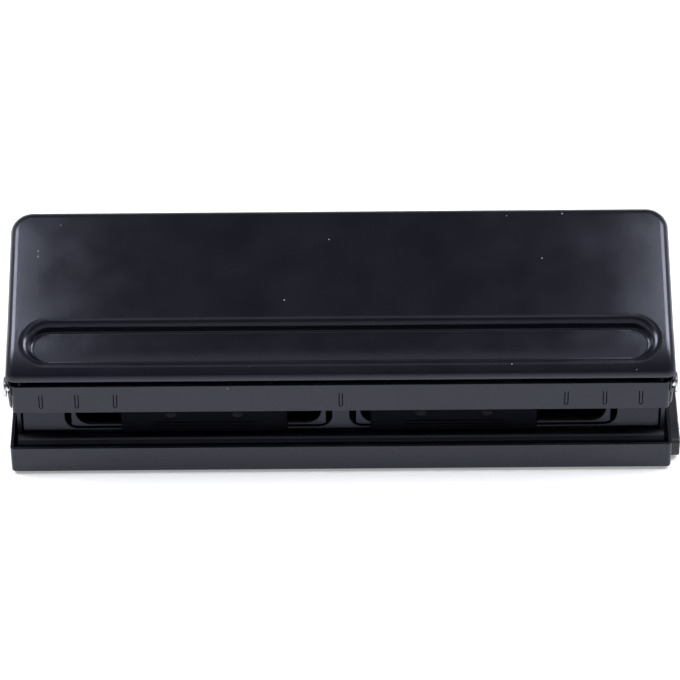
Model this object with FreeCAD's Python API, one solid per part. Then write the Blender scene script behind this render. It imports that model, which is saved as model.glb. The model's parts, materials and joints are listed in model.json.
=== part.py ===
import FreeCAD, Part

import math
import os

# Six-hole punch, in millimetres. +X is to the right of a person who feeds the paper,
# +Y leads away from that person, +Z is up. The origin lies under the middle of the base,
# on the plane that the feet stand on. The lever is drawn level and then raised to its rest.
# A setback is a distance behind the base's front face, a height is over the tray's underside.

# Clearances
RUNNING = 0.05
SEAT_GAP = 0.3
TOUCH_GAP = 0.1
BEYOND = 1.0
TOLERANCE = 0.01

# Base tray and its feet
BASE_WIDTH = 265.0
BASE_DEPTH = 84.0
BASE_HEIGHT = 12.8
BASE_SHEET = 1.2
BASE_CORNER_R = 1.5
BASE_BEND_R = 1.0
FOOT_HEIGHT = 1.0
FOOT_R = 6.0
FOOT_INSET = 13.0
FOOT_EDGE_R = 0.4

# Die plate, a channel with two end cheeks bent up
PLATE_SHEET = 1.5
PLATE_END_GAP = 1.7
PLATE_ABOVE_BASE = 0.4
PLATE_SETBACK = 3.9
PLATE_NOSE_R = 4.0
PLATE_FOOT_DEPTH = 9.0
PLATE_BEHIND_CHEEK = 4.5
PLATE_SLOT_CORNER_R = 1.0
CHEEK_AHEAD_OF_PANEL = 0.7
CHEEK_BEHIND_REAR_PANEL = 2.8
CHEEK_ABOVE_PIVOT = 5.95
CHEEK_FRONT_SLOPE = 2.0
CHEEK_TOP_BEHIND_PIVOT = 12.0
CHEEK_CORNER_R = 3.0
FRAME_RIVET_END_INSET = 25.6
FRAME_RIVET_R = 1.6
FRAME_RIVET_HEAD_R = 3.2
FRAME_RIVET_HEAD_HEIGHT = 1.6
HEAD_RIM_SHARE = 0.3

# Scale rail across the front, with the paper-size marks
RAIL_SHEET = 1.2
RAIL_SETBACK = 4.0
RAIL_HEIGHT = 14.0
RAIL_LIP_GAP = 3.5
RAIL_BEND_R = 1.6
RAIL_EDGE_R = 0.3
RAIL_TAB_BEHIND_ROD = 1.0
RAIL_TAB_ABOVE_ROD = 2.0
RAIL_TAB_FOOT = 5.0
MARK_OFFSETS = (89.7, 105.0, 119.3)
MARK_PITCH = 1.3
MARK_LINE = 0.42
MARK_DEPTH = 0.3
MARK_LENGTH = 7.2
MARK_ABOVE_EDGE = 2.4

# Front panel with its two long windows
PANEL_SHEET = 1.2
PANEL_BEHIND_RAIL = 4.0
PAPER_SLOT = 1.5
PANEL_ABOVE_WINDOW = 3.0
PANEL_FLANGE_DEPTH = 14.0
PANEL_BEND_R = 1.6
WINDOW_INNER_END = 3.5
WINDOW_END_MARGIN = 17.5
WINDOW_LIP = 0.8
WINDOW_HEIGHT = 17.5
WINDOW_CORNER_R = 5.5
WINDOW_EDGE_R = 0.45

# Slide frames behind the windows
SLIDE_SHEET = 1.2
SLIDE_END_STEP = 2.6
SLIDE_SIDE = 1.9
SLIDE_LIP = 1.4
SLIDE_ABOVE_SLOT = 0.5
SLIDE_TOP_OVERLAP = 2.0
SLIDE_WINDOW_DROP = 0.5
SLIDE_PLATE_CORNER_R = 0.5
SLIDE_CORNER_R = 6.0
SLIDE_EDGE_R = 0.4

# Rear panel and guide rod
REAR_BEHIND_CARRIER = 6.5
REAR_SHEET = 1.2
REAR_ABOVE_PIVOT = 0.25
REAR_FLANGE_DEPTH = 6.0
REAR_HEM_DEPTH = 5.0
REAR_BEND_R = 1.6
ROD_R = 3.0
ROD_BEHIND_PINS = 10.1
ROD_ABOVE_SLOT = 17.5
ROD_END_GAP = 0.15
ROD_CHAMFER = 0.4

# Lever
PIVOT_BEHIND_RAIL = 3.3
PIVOT_ABOVE_PANEL = 3.25
REST_ANGLE = 18.0
LEVER_SHEET = 1.2
LEVER_LENGTH = 78.5
LEVER_AHEAD = 3.0
LEVER_ABOVE = 10.65
LEVER_CORNER_R = 9.0
LEVER_BEND_R = 3.4
LEVER_FOLD_R = 1.8
LEVER_LIP_DEPTH = 2.4
LEVER_SKIRT_DEPTH = 9.6
LEVER_REAR_DEPTH = 7.6
SKIRT_TAPER_LENGTH = 47.1
SKIRT_TAPER_R = 20.0
EAR_GAP = 0.3
EAR_WIDTH = 18.0
EAR_DROP = 25.4
EAR_SLOPE = 8.0
EAR_SLOPE_R = 4.0
EAR_CORNER_R = 2.5

# Long recess pressed into the lever
RECESS_END_MARGIN = 7.35
RECESS_WIDTH = 16.9
RECESS_BEHIND_FOLD = 8.3
RECESS_DEPTH = 4.8
RECESS_WALL = 1.3
RECESS_END_WALL = 2.6
RECESS_RIM_R = 4.0
RECESS_RIM_UNDER_R = 2.4
RECESS_FLOOR_R = 1.2

# Pivot rivets and washers
RIVET_R = 2.0
RIVET_HEAD_R = 4.2
RIVET_HEAD_HEIGHT = 2.5
RIVET_TAIL_R = 3.0
RIVET_TAIL = 1.0
WASHER_R = 4.2
WASHER_THICK = 0.5

# Punch heads: three pins each, on a sliding carrier
PIN_PITCH = 19.0
PIN_R = 2.75
PIN_HEAD_R = 4.4
PIN_DOME_R = 6.0
PIN_HEAD_LENGTH = 6.2
PIN_TIP_GAP = 0.3
PIN_TIP_CUP = 0.6
LEFT_HEAD_X = -54.6
RIGHT_HEAD_X = 45.2
CARRIER_END = 8.0
CARRIER_BEHIND_SLIDE = 0.9
CARRIER_AHEAD_OF_PINS = 6.5
CARRIER_BEHIND_ROD = 4.4
CARRIER_UNDER_RECESS = 2.4
CARRIER_JAW = 3.4
CARRIER_SIDE_GAP = 0.4
CARRIER_EDGE_R = 1.5
THROAT_DEPTH = 6.0
THROAT_ABOVE_SLOT = 0.25
SPRING_POCKET_DEPTH = 12.5
SPRING_POCKET_GAP = 0.3
SPRING_R = 4.2
SPRING_WIRE = 0.9
DIE_END = 6.0
DIE_HALF_DEPTH = 4.5
DIE_THICK = 2.0
DIE_BELOW_PLATE = 0.1
CHIP_HOLE_R = 3.6

# Finger grips of the punch heads
GRIP_WIDTH = 66.7
GRIP_HEIGHT = 23.0
GRIP_THICK = 2.0
GRIP_ABOVE_SLOT = 0.3
GRIP_CORNER_R = 1.5
GRIP_EDGE_R = 0.7
NECK_STEP = 1.35
NECK_GAP = 0.6
NECK_CORNER_R = 5.4
GRIP_RIB_COUNT = 3
GRIP_RIB_PITCH = 1.9
GRIP_RIB_LENGTH = 40.0
GRIP_RIB_R = 0.35
GRIP_RIB_ABOVE_EDGE = 1.5
GRIP_RIVET_SPACING = 26.6
GRIP_RIVET_ABOVE_EDGE = 9.4
GRIP_RIVET_R = 1.25
GRIP_RIVET_HEAD_R = 2.2
GRIP_RIVET_HEAD = 0.9
GRIP_RIVET_GRAB = 5.0

# Chip drawer, drawn out to the right
DRAWER_BEHIND_PLATE = 5.1
DRAWER_DEPTH = 33.0
DRAWER_UNDER_CARRIER = 1.6
DRAWER_LEFT_GAP = 5.0
DRAWER_WALL = 1.2
DRAWER_CORNER_R = 1.5
DRAWER_LIFT = 0.1
DRAWER_SIDE_GAP = 0.4
DRAWER_PLATE_THICK = 3.4
DRAWER_PLATE_GAP = 0.5
DRAWER_PLATE_MARGIN = 3.2
DRAWER_PLATE_OVER_TOP = 0.7
DRAWER_PLATE_UNDER_FLOOR = 1.2
DRAWER_PLATE_CORNER_R = 2.0
DRAWER_PLATE_EDGE_R = 0.7
DRAWER_TRAVEL = 180.0

# Places along X
PLATE_HALF = BASE_WIDTH / 2 - BASE_SHEET - PLATE_END_GAP
INSIDE_HALF = PLATE_HALF - PLATE_SHEET
RAIL_HALF = PLATE_HALF + RAIL_SHEET
LEVER_HALF = RAIL_HALF + WASHER_THICK + EAR_GAP + LEVER_SHEET
RECESS_HALF = LEVER_HALF - RECESS_END_MARGIN
RIVET_SEAT = LEVER_HALF + TOUCH_GAP
WINDOW_OUTER_END = INSIDE_HALF - WINDOW_END_MARGIN
SLIDE_INNER_END = WINDOW_INNER_END + SLIDE_END_STEP
SLIDE_OUTER_END = WINDOW_OUTER_END - SLIDE_END_STEP
SLIDE_WINDOW_NEAR = SLIDE_INNER_END + SLIDE_SIDE
SLIDE_WINDOW_FAR = SLIDE_OUTER_END - SLIDE_SIDE
NECK_HALF = GRIP_WIDTH / 2 - NECK_STEP
CARRIER_HALF = PIN_PITCH + CARRIER_END
DIE_HALF = PIN_PITCH + DIE_END
HEAD_NEAR = SLIDE_WINDOW_NEAR + NECK_HALF + SEAT_GAP
HEAD_FAR = SLIDE_WINDOW_FAR - NECK_HALF - SEAT_GAP
SLOT_NEAR = HEAD_NEAR - CARRIER_HALF - CARRIER_SIDE_GAP
SLOT_FAR = HEAD_FAR + CARRIER_HALF + CARRIER_SIDE_GAP
FRAME_RIVET_REACH = PLATE_HALF - FRAME_RIVET_END_INSET

# Setbacks, from front to back
FRONT = -BASE_DEPTH / 2
RAIL_BACK = RAIL_SETBACK + RAIL_SHEET
PIVOT_SETBACK = RAIL_BACK + PIVOT_BEHIND_RAIL
LEVER_FRONT = PIVOT_SETBACK - LEVER_AHEAD
RECESS_MIDDLE = LEVER_FRONT + RECESS_BEHIND_FOLD + RECESS_WIDTH / 2
PANEL_SETBACK = RAIL_BACK + PANEL_BEHIND_RAIL
PANEL_BACK = PANEL_SETBACK + PANEL_SHEET
SLIDE_BACK = PANEL_BACK + SLIDE_SHEET
GRIP_BACK = PANEL_SETBACK - SEAT_GAP
GRIP_FRONT = GRIP_BACK - GRIP_THICK
CARRIER_FRONT = SLIDE_BACK + CARRIER_BEHIND_SLIDE
PIN_SETBACK = CARRIER_FRONT + CARRIER_AHEAD_OF_PINS
ROD_SETBACK = PIN_SETBACK + ROD_BEHIND_PINS
CARRIER_REAR = ROD_SETBACK + CARRIER_BEHIND_ROD
REAR_SETBACK = CARRIER_REAR + REAR_BEHIND_CARRIER
REAR_BACK = REAR_SETBACK + REAR_SHEET
CHEEK_REAR = REAR_BACK + CHEEK_BEHIND_REAR_PANEL
PLATE_REAR = CHEEK_REAR + PLATE_BEHIND_CHEEK
FRAME_RIVET_SETBACK = PLATE_REAR + PLATE_FOOT_DEPTH / 2
DRAWER_FRONT = PLATE_SETBACK + DRAWER_BEHIND_PLATE
DRAWER_REAR = DRAWER_FRONT + DRAWER_DEPTH

# Heights, from the tray's floor up
GROUND = FOOT_HEIGHT
FLOOR_TOP = BASE_SHEET
PLATE_TOP = BASE_HEIGHT + PLATE_ABOVE_BASE
PLATE_UNDER = PLATE_TOP - PLATE_SHEET
DIE_TOP = PLATE_TOP - DIE_BELOW_PLATE
CARRIER_BOTTOM = PLATE_TOP - CARRIER_JAW
DRAWER_BOTTOM = FLOOR_TOP + DRAWER_LIFT
DRAWER_TOP = CARRIER_BOTTOM - DRAWER_UNDER_CARRIER
SLOT_TOP = PLATE_TOP + PAPER_SLOT
THROAT_TOP = SLOT_TOP + THROAT_ABOVE_SLOT
GRIP_BOTTOM = SLOT_TOP + GRIP_ABOVE_SLOT
GRIP_RIVET_HEIGHT = GRIP_BOTTOM + GRIP_RIVET_ABOVE_EDGE
WINDOW_BOTTOM = SLOT_TOP + WINDOW_LIP
WINDOW_TOP = WINDOW_BOTTOM + WINDOW_HEIGHT
PANEL_TOP = WINDOW_TOP + PANEL_ABOVE_WINDOW
SLIDE_BOTTOM = SLOT_TOP + SLIDE_ABOVE_SLOT
SLIDE_WINDOW_BOTTOM = SLIDE_BOTTOM + SLIDE_LIP
SLIDE_WINDOW_TOP = WINDOW_TOP - SLIDE_WINDOW_DROP
ROD_HEIGHT = SLOT_TOP + ROD_ABOVE_SLOT
PIVOT_HEIGHT = PANEL_TOP + PIVOT_ABOVE_PANEL
CHEEK_TOP = PIVOT_HEIGHT + CHEEK_ABOVE_PIVOT
REAR_TOP = PIVOT_HEIGHT + REAR_ABOVE_PIVOT
LEVER_TOP = PIVOT_HEIGHT + LEVER_ABOVE
EAR_BOTTOM = LEVER_TOP - EAR_DROP
RECESS_UNDER = LEVER_ABOVE - RECESS_DEPTH - LEVER_SHEET
CARRIER_TOP = PIVOT_HEIGHT + RECESS_UNDER - CARRIER_UNDER_RECESS
SPRING_POCKET_FLOOR = CARRIER_TOP - SPRING_POCKET_DEPTH
SPRING_POCKET_R = PIN_HEAD_R + SPRING_POCKET_GAP

# The lever's front lip at rest stands just over the scale rail
REST = math.radians(REST_ANGLE)
LIP_UP = (LEVER_ABOVE - LEVER_LIP_DEPTH) * math.cos(REST) - LEVER_AHEAD * math.sin(REST)
RAIL_TOP = PIVOT_HEIGHT + LIP_UP - RAIL_LIP_GAP
RAIL_BOTTOM = RAIL_TOP - RAIL_HEIGHT

# Each pin's dome stays a seat's gap under the recess, with the lever raised and pressed
PIN_ARM = PIN_SETBACK - PIVOT_SETBACK
PIN_TIP = THROAT_TOP + PIN_TIP_GAP
DOME_CENTRE_PRESSED = RECESS_UNDER - SEAT_GAP - PIN_DOME_R
DOME_CENTRE_UP = (DOME_CENTRE_PRESSED + PIN_ARM * math.sin(REST)) / math.cos(REST)
PIN_TRAVEL = DOME_CENTRE_UP - DOME_CENTRE_PRESSED
PIN_TOP = PIVOT_HEIGHT + DOME_CENTRE_UP + PIN_DOME_R
PIN_HEAD_UNDER = PIN_TOP - PIN_HEAD_LENGTH


def vec(x, y, z):
    """A point given by its place along X, its setback and its height."""
    return FreeCAD.Vector(x, y + FRONT, z + GROUND)


def block(x0, x1, y0, y1, z0, z1):
    """A box between two corners."""
    return Part.makeBox(x1 - x0, y1 - y0, z1 - z0, vec(x0, y0, z0))


def rod(x, y, z, radius, length, direction):
    """A round bar that starts at a point and runs along a direction."""
    return Part.makeCylinder(radius, length, vec(x, y, z), FreeCAD.Vector(*direction))


def near(a, b):
    return abs(a - b) < TOLERANCE / 100


def edges_where(shape, test):
    """The edges whose two ends and middle all pass a test."""
    found = []
    for edge in shape.Edges:
        middle = edge.valueAt((edge.FirstParameter + edge.LastParameter) / 2)
        points = [vertex.Point for vertex in edge.Vertexes] + [middle]
        local = [(p.x, p.y - FRONT, p.z - GROUND) for p in points]
        if all(test(*p) for p in local):
            found.append(edge)
    return found


def upright_edges(shape, test):
    """The edges along Z that pass a test of their place."""
    found = []
    for edge in shape.Edges:
        if len(edge.Vertexes) < 2:
            continue
        a = edge.Vertexes[0].Point
        b = edge.Vertexes[-1].Point
        if near(a.x, b.x) and near(a.y, b.y) and not near(a.z, b.z) and test(a.x, a.y - FRONT):
            found.append(edge)
    return found


def rounded_block(x0, x1, y0, y1, z0, z1, radius, axis):
    """A box whose four edges along one axis are rounded."""
    box = block(x0, x1, y0, y1, z0, z1)
    index = "XYZ".index(axis)
    picked = []
    for edge in box.Edges:
        step = edge.Vertexes[1].Point - edge.Vertexes[0].Point
        parts = [abs(step.x), abs(step.y), abs(step.z)]
        if near(sum(parts), parts[index]):
            picked.append(edge)
    return box.makeFillet(radius, picked)


def side_profile(points, x0, x1):
    """A prism along X from an outline of (setback, height, corner radius) points."""
    outline = []
    count = len(points)
    for i in range(count):
        y, z, radius = points[i]
        here = vec(x0, y, z)
        back = vec(x0, *points[i - 1][:2]) - here
        ahead = vec(x0, *points[(i + 1) % count][:2]) - here
        if radius == 0:
            outline.append((here, here, here))
            continue
        half = back.getAngle(ahead) / 2
        reach = radius / math.tan(half)
        back.normalize()
        ahead.normalize()
        bisector = back + ahead
        bisector.normalize()
        middle = here + bisector * (radius / math.sin(half) - radius)
        outline.append((here + back * reach, middle, here + ahead * reach))
    edges = []
    for i in range(count):
        start, middle, end = outline[i]
        if points[i][2] > 0:
            edges.append(Part.Arc(start, middle, end).toShape())
        following = outline[(i + 1) % count][0]
        if not near((following - end).Length, 0):
            edges.append(Part.LineSegment(end, following).toShape())
    face = Part.Face(Part.Wire(edges))
    return face.extrude(FreeCAD.Vector(x1 - x0, 0, 0))


def mirrored(shape):
    """The same shape on the other side of the middle plane."""
    return shape.mirror(FreeCAD.Vector(0, 0, 0), FreeCAD.Vector(1, 0, 0))


def both_sides(shape):
    return [shape, mirrored(shape)]


def dome(x, y, z, radius, height, direction):
    """A low button head with a spherical top and a short upright rim."""
    rise = height * (1 - HEAD_RIM_SHARE)
    ball_r = (radius * radius + rise * rise) / (2 * rise)
    axis = FreeCAD.Vector(*direction)
    base = vec(x, y, z)
    ball = Part.makeSphere(ball_r, base + axis * (height - ball_r))
    drum = Part.makeCylinder(radius, height, base, axis)
    return drum.common(ball)


def make_base_tray():
    half = BASE_WIDTH / 2
    wall = BASE_SHEET
    outer = rounded_block(-half, half, 0, BASE_DEPTH, 0, BASE_HEIGHT, BASE_CORNER_R, "Z")
    outer = outer.makeFillet(BASE_BEND_R, edges_where(outer, lambda x, y, z: near(z, 0)))
    inner = rounded_block(-half + wall, half - wall, wall, BASE_DEPTH - wall,
                          FLOOR_TOP, BASE_HEIGHT + BEYOND, BASE_CORNER_R - wall, "Z")
    tray = outer.cut(inner)
    door = block(half - wall - TOUCH_GAP, half + BEYOND, DRAWER_FRONT - DRAWER_SIDE_GAP,
                 DRAWER_REAR + DRAWER_SIDE_GAP, FLOOR_TOP, DRAWER_TOP + DRAWER_SIDE_GAP)
    holes = [rod(x, FRAME_RIVET_SETBACK, -BEYOND, FRAME_RIVET_R, FLOOR_TOP + 2 * BEYOND, (0, 0, 1))
             for x in frame_rivet_places()]
    return tray.cut([door] + holes)


def foot_places():
    x = BASE_WIDTH / 2 - FOOT_INSET
    rear = BASE_DEPTH - FOOT_INSET
    return {
        "foot_front_left": (-x, FOOT_INSET),
        "foot_front_right": (x, FOOT_INSET),
        "foot_rear_left": (-x, rear),
        "foot_rear_right": (x, rear),
    }


def make_foot(x, y):
    foot = rod(x, y, -FOOT_HEIGHT, FOOT_R, FOOT_HEIGHT, (0, 0, 1))
    return foot.makeFillet(FOOT_EDGE_R, edges_where(foot, lambda x, y, z: near(z, -FOOT_HEIGHT)))


def frame_rivet_places():
    return (-FRAME_RIVET_REACH, 0.0, FRAME_RIVET_REACH)


def cheek_outline():
    """Narrow below the rail, and reaching forward behind it to hold the lever's pivot."""
    front = PANEL_SETBACK - CHEEK_AHEAD_OF_PANEL
    upper_front = RAIL_SETBACK + RAIL_BEND_R
    return [
        (front, PLATE_UNDER, 0),
        (front, RAIL_BOTTOM, 0),
        (upper_front, RAIL_BOTTOM, 0),
        (upper_front, PIVOT_HEIGHT, 0),
        (upper_front + CHEEK_FRONT_SLOPE, CHEEK_TOP, CHEEK_CORNER_R / 2),
        (PIVOT_SETBACK + CHEEK_TOP_BEHIND_PIVOT, CHEEK_TOP, CHEEK_CORNER_R),
        (CHEEK_REAR, REAR_TOP, CHEEK_CORNER_R),
        (CHEEK_REAR, PLATE_UNDER, 0),
    ]


def make_die_plate():
    half = PLATE_HALF
    sheet = PLATE_SHEET
    outer = block(-half, half, PLATE_SETBACK, PLATE_REAR, FLOOR_TOP, PLATE_TOP)
    outer = outer.makeFillet(PLATE_NOSE_R, edges_where(
        outer, lambda x, y, z: near(z, PLATE_TOP) and (near(y, PLATE_SETBACK) or near(y, PLATE_REAR))))
    inner = block(-half - BEYOND, half + BEYOND, PLATE_SETBACK + sheet, PLATE_REAR - sheet,
                  FLOOR_TOP - BEYOND, PLATE_UNDER)
    inner = inner.makeFillet(PLATE_NOSE_R - sheet, edges_where(
        inner, lambda x, y, z: near(z, PLATE_UNDER)
        and (near(y, PLATE_SETBACK + sheet) or near(y, PLATE_REAR - sheet))))
    plate = outer.cut(inner)
    foot = block(-half, half, PLATE_REAR - sheet, PLATE_REAR + PLATE_FOOT_DEPTH, FLOOR_TOP, FLOOR_TOP + sheet)
    cheek = side_profile(cheek_outline(), INSIDE_HALF, half)
    plate = plate.fuse([foot] + both_sides(cheek))
    slot = rounded_block(SLOT_NEAR, SLOT_FAR,
                         CARRIER_FRONT - CARRIER_SIDE_GAP, CARRIER_REAR + CARRIER_SIDE_GAP,
                         PLATE_UNDER - BEYOND, PLATE_TOP + BEYOND, PLATE_SLOT_CORNER_R, "Z")
    through = sheet + 2 * BEYOND
    pivot = rod(INSIDE_HALF - BEYOND, PIVOT_SETBACK, PIVOT_HEIGHT, RIVET_R, through, (1, 0, 0))
    guide = rod(INSIDE_HALF - BEYOND, ROD_SETBACK, ROD_HEIGHT, ROD_R, through, (1, 0, 0))
    holes = [rod(x, FRAME_RIVET_SETBACK, FLOOR_TOP - BEYOND, FRAME_RIVET_R, through, (0, 0, 1))
             for x in frame_rivet_places()]
    plate = plate.cut(both_sides(slot) + both_sides(pivot) + both_sides(guide) + holes)
    return plate.removeSplitter()


def make_frame_rivets():
    rivets = []
    head_seat = FLOOR_TOP + PLATE_SHEET
    for x in frame_rivet_places():
        shank = rod(x, FRAME_RIVET_SETBACK, 0, FRAME_RIVET_R, head_seat, (0, 0, 1))
        head = dome(x, FRAME_RIVET_SETBACK, head_seat, FRAME_RIVET_HEAD_R, FRAME_RIVET_HEAD_HEIGHT, (0, 0, 1))
        rivets.append(shank.fuse(head))
    return Part.makeCompound(rivets)


def mark_cut(x):
    """A stamped U, open at the top, to be cut from the rail's face."""
    outer_r = (MARK_PITCH + MARK_LINE) / 2
    inner_r = (MARK_PITCH - MARK_LINE) / 2
    bottom = RAIL_BOTTOM + MARK_ABOVE_EDGE + outer_r
    top = RAIL_BOTTOM + MARK_ABOVE_EDGE + MARK_LENGTH
    front = RAIL_SETBACK - BEYOND
    depth = MARK_DEPTH + BEYOND

    def tongue(radius):
        leg = block(x - radius, x + radius, front, front + depth, bottom, top)
        return leg.fuse(rod(x, front, bottom, radius, depth, (0, 1, 0)))

    return tongue(outer_r).cut(tongue(inner_r))


def make_scale_rail():
    rear = ROD_SETBACK + ROD_R + RAIL_TAB_BEHIND_ROD
    foot = rear - RAIL_TAB_FOOT
    tab_front = RAIL_SETBACK + 2 * RAIL_BEND_R
    strip = block(-RAIL_HALF, RAIL_HALF, RAIL_SETBACK, rear, RAIL_BOTTOM, RAIL_TOP)
    strip = strip.makeFillet(RAIL_BEND_R, upright_edges(strip, lambda x, y: near(y, RAIL_SETBACK)))
    for level in (RAIL_TOP, RAIL_BOTTOM):
        strip = strip.makeFillet(RAIL_EDGE_R, edges_where(strip, lambda x, y, z: near(z, level)))
    outline = [
        (tab_front, RAIL_BOTTOM + RAIL_EDGE_R, 0),
        (tab_front, RAIL_TOP, 0),
        (tab_front + RAIL_BEND_R, CHEEK_TOP, CHEEK_CORNER_R / 2),
        (PIVOT_SETBACK + CHEEK_TOP_BEHIND_PIVOT, CHEEK_TOP, CHEEK_CORNER_R),
        (rear, ROD_HEIGHT + ROD_R + RAIL_TAB_ABOVE_ROD, CHEEK_CORNER_R),
        (rear, RAIL_BOTTOM, CHEEK_CORNER_R),
        (foot, RAIL_BOTTOM, 0),
        (foot, RAIL_BOTTOM + RAIL_EDGE_R, 0),
    ]
    tabs = side_profile(outline, -RAIL_HALF, RAIL_HALF)
    front_run = block(-RAIL_HALF, RAIL_HALF, RAIL_SETBACK - BEYOND, foot, RAIL_BOTTOM, RAIL_TOP)
    strip = strip.common(tabs.fuse(front_run)).fuse(tabs)
    inner = block(-PLATE_HALF, PLATE_HALF, RAIL_BACK, rear + BEYOND, RAIL_BOTTOM - BEYOND, CHEEK_TOP + BEYOND)
    inner = inner.makeFillet(RAIL_BEND_R - RAIL_SHEET, upright_edges(inner, lambda x, y: near(y, RAIL_BACK)))
    rail = strip.cut(inner)
    pivot = rod(PLATE_HALF - BEYOND, PIVOT_SETBACK, PIVOT_HEIGHT,
                RIVET_R, RAIL_SHEET + 2 * BEYOND, (1, 0, 0))
    marks = [mark_cut(0.0)]
    for offset in MARK_OFFSETS:
        marks += [mark_cut(offset), mark_cut(-offset)]
    return rail.cut(both_sides(pivot) + marks)


def make_front_panel():
    rear = PANEL_SETBACK + PANEL_FLANGE_DEPTH
    flat_half = INSIDE_HALF - PANEL_SHEET
    outer = block(-INSIDE_HALF, INSIDE_HALF, PANEL_SETBACK, rear, SLOT_TOP, PANEL_TOP)
    outer = outer.makeFillet(PANEL_BEND_R, upright_edges(outer, lambda x, y: near(y, PANEL_SETBACK)))
    inner = block(-flat_half, flat_half, PANEL_BACK, rear + BEYOND, SLOT_TOP - BEYOND, PANEL_TOP + BEYOND)
    inner = inner.makeFillet(PANEL_BEND_R - PANEL_SHEET,
                             upright_edges(inner, lambda x, y: near(y, PANEL_BACK)))
    window = rounded_block(WINDOW_INNER_END, WINDOW_OUTER_END, PANEL_SETBACK - BEYOND, PANEL_BACK + BEYOND,
                           WINDOW_BOTTOM, WINDOW_TOP, WINDOW_CORNER_R, "Y")
    panel = outer.cut([inner] + both_sides(window))
    rims = edges_where(
        panel, lambda x, y, z: near(y, PANEL_SETBACK) and abs(x) < WINDOW_OUTER_END + TOLERANCE
        and WINDOW_BOTTOM - TOLERANCE < z < WINDOW_TOP + TOLERANCE)
    return panel.makeFillet(WINDOW_EDGE_R, rims)


def make_slide_frame():
    frame = rounded_block(SLIDE_INNER_END, SLIDE_OUTER_END, PANEL_BACK, SLIDE_BACK,
                          SLIDE_BOTTOM, WINDOW_TOP + SLIDE_TOP_OVERLAP, SLIDE_PLATE_CORNER_R, "Y")
    window = rounded_block(SLIDE_WINDOW_NEAR, SLIDE_WINDOW_FAR, PANEL_BACK - BEYOND, SLIDE_BACK + BEYOND,
                           SLIDE_WINDOW_BOTTOM, SLIDE_WINDOW_TOP, SLIDE_CORNER_R, "Y")
    frame = frame.cut(window)
    rim = edges_where(
        frame, lambda x, y, z: near(y, PANEL_BACK)
        and SLIDE_WINDOW_NEAR - TOLERANCE < x < SLIDE_WINDOW_FAR + TOLERANCE
        and SLIDE_WINDOW_BOTTOM - TOLERANCE < z < SLIDE_WINDOW_TOP + TOLERANCE)
    return frame.makeFillet(SLIDE_EDGE_R, rim)


def make_rear_panel():
    front = REAR_SETBACK - REAR_FLANGE_DEPTH
    flat_half = INSIDE_HALF - REAR_SHEET
    outer = block(-INSIDE_HALF, INSIDE_HALF, front, REAR_BACK, PLATE_TOP, REAR_TOP)
    bends = upright_edges(outer, lambda x, y: near(y, REAR_BACK))
    bends += edges_where(outer, lambda x, y, z: near(y, REAR_BACK) and near(z, REAR_TOP))
    outer = outer.makeFillet(REAR_BEND_R, bends)
    inner = block(-flat_half, flat_half, front - BEYOND, REAR_SETBACK,
                  PLATE_TOP - BEYOND, REAR_TOP - REAR_SHEET)
    hem_front = block(-flat_half, flat_half, front - BEYOND, REAR_BACK - REAR_HEM_DEPTH,
                      REAR_TOP - 2 * REAR_SHEET, REAR_TOP + BEYOND)
    return outer.cut([inner, hem_front])


def make_guide_rod():
    half = PLATE_HALF - ROD_END_GAP
    bar = rod(-half, ROD_SETBACK, ROD_HEIGHT, ROD_R, 2 * half, (1, 0, 0))
    return bar.makeChamfer(ROD_CHAMFER, edges_where(bar, lambda x, y, z: near(abs(x), half)))


def make_pivot_rivet():
    inside = INSIDE_HALF - RIVET_TAIL
    shank = rod(inside, PIVOT_SETBACK, PIVOT_HEIGHT, RIVET_R, RIVET_SEAT - inside, (1, 0, 0))
    tail = rod(inside, PIVOT_SETBACK, PIVOT_HEIGHT, RIVET_TAIL_R, RIVET_TAIL, (1, 0, 0))
    head = dome(RIVET_SEAT, PIVOT_SETBACK, PIVOT_HEIGHT, RIVET_HEAD_R, RIVET_HEAD_HEIGHT, (1, 0, 0))
    return shank.fuse([tail, head])


def make_pivot_washer():
    disc = rod(RAIL_HALF, PIVOT_SETBACK, PIVOT_HEIGHT, WASHER_R, WASHER_THICK, (1, 0, 0))
    return disc.cut(rod(RAIL_HALF - BEYOND, PIVOT_SETBACK, PIVOT_HEIGHT, RIVET_R,
                        WASHER_THICK + 2 * BEYOND, (1, 0, 0)))


def stadium(half_length, radius, level):
    """A stadium outline at a level over the pivot, on the recess's middle line, as quarter arcs."""
    straight = half_length - radius
    diagonal = radius * math.sqrt(0.5)

    def at(x, y):
        return vec(x, RECESS_MIDDLE + y, PIVOT_HEIGHT + level)

    edges = []
    for side in (1, -1):
        centre = side * straight
        tip = centre + side * radius
        slant = centre + side * diagonal
        edges.append(Part.LineSegment(at(-centre, -side * radius), at(centre, -side * radius)).toShape())
        edges.append(Part.Arc(at(centre, -side * radius), at(slant, -side * diagonal), at(tip, 0)).toShape())
        edges.append(Part.Arc(at(tip, 0), at(slant, side * diagonal), at(centre, side * radius)).toShape())
    return Part.Wire(edges)


def recess_dish(outward, upper, lower):
    """The recess's tapered form between two levels over the pivot, grown outward by a sheet's width."""
    wires = []
    for level in (upper, lower):
        share = (LEVER_ABOVE - level) / RECESS_DEPTH
        wires.append(stadium(RECESS_HALF + outward - share * RECESS_END_WALL,
                             RECESS_WIDTH / 2 + outward - share * RECESS_WALL, level))
    return Part.makeLoft(wires, True, True)


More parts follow.
